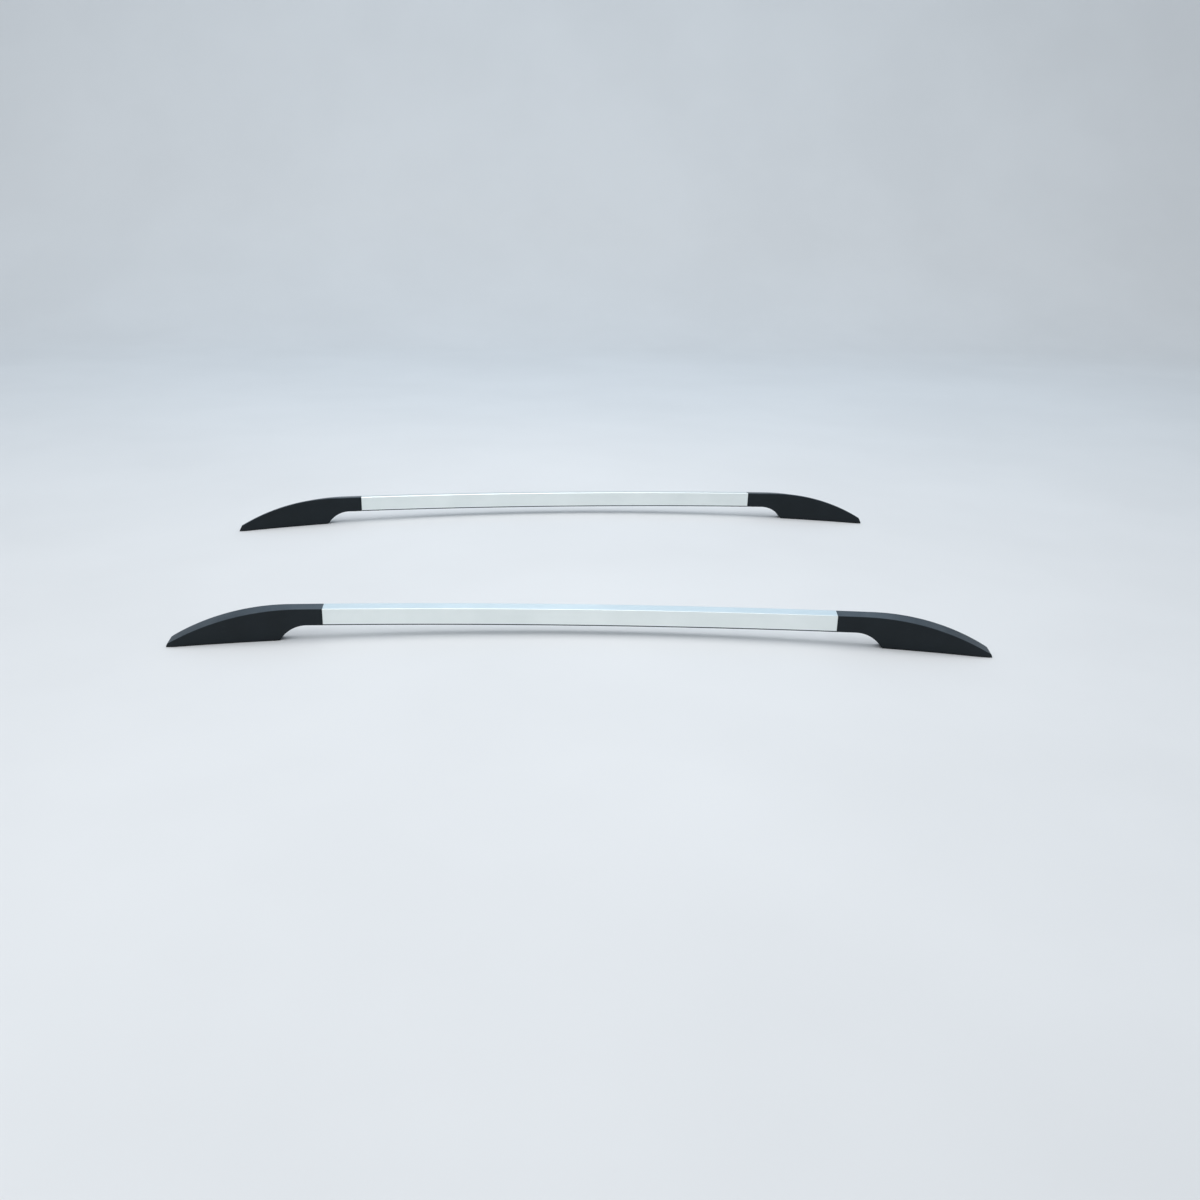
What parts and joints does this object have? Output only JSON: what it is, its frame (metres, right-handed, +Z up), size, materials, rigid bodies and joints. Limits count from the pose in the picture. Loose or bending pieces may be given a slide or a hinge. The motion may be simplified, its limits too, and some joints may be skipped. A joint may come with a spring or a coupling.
{
  "type": "roof side rail pair",
  "caption": "Pair of raised roof side rails: bowed hollow aluminium bars with moulded end covers over cast feet that bolt to a car roof.",
  "frame": {"origin": "midway between the two rails and between their ends, on the level of the lower ends of the studs", "axes": "+X towards the front of the car, +Y to its left, +Z up"},
  "size_m": [1.7964, 1.1888, 0.116],
  "materials": {
    "bar_aluminium": "satin anodised, drawn along the bar",
    "moulded_cover": "fine grained charcoal plastic",
    "cast_foot": "die cast, as cast",
    "rubber_pad": "matt moulded rubber",
    "seal_rubber": "matt moulded rubber",
    "zinc_steel": "zinc plated"
  },
  "bodies": {
    "root": {"right_rail_bar": "bar_aluminium", "right_front_foot": "cast_foot", "right_front_cover": "moulded_cover", "right_front_gasket": "rubber_pad", "right_front_studs": "zinc_steel", "right_front_stud_seals": "seal_rubber", "right_front_bar_screws": "zinc_steel", "right_front_cover_screws": "zinc_steel", "right_rear_foot": "cast_foot", "right_rear_cover": "moulded_cover", "right_rear_gasket": "rubber_pad", "right_rear_studs": "zinc_steel", "right_rear_stud_seals": "seal_rubber", "right_rear_bar_screws": "zinc_steel", "right_rear_cover_screws": "zinc_steel", "left_rail_bar": "bar_aluminium", "left_front_foot": "cast_foot", "left_front_cover": "moulded_cover", "left_front_gasket": "rubber_pad", "left_front_studs": "zinc_steel", "left_front_stud_seals": "seal_rubber", "left_front_bar_screws": "zinc_steel", "left_front_cover_screws": "zinc_steel", "left_rear_foot": "cast_foot", "left_rear_cover": "moulded_cover", "left_rear_gasket": "rubber_pad", "left_rear_studs": "zinc_steel", "left_rear_stud_seals": "seal_rubber", "left_rear_bar_screws": "zinc_steel", "left_rear_cover_screws": "zinc_steel"}
  },
  "joints": []
}
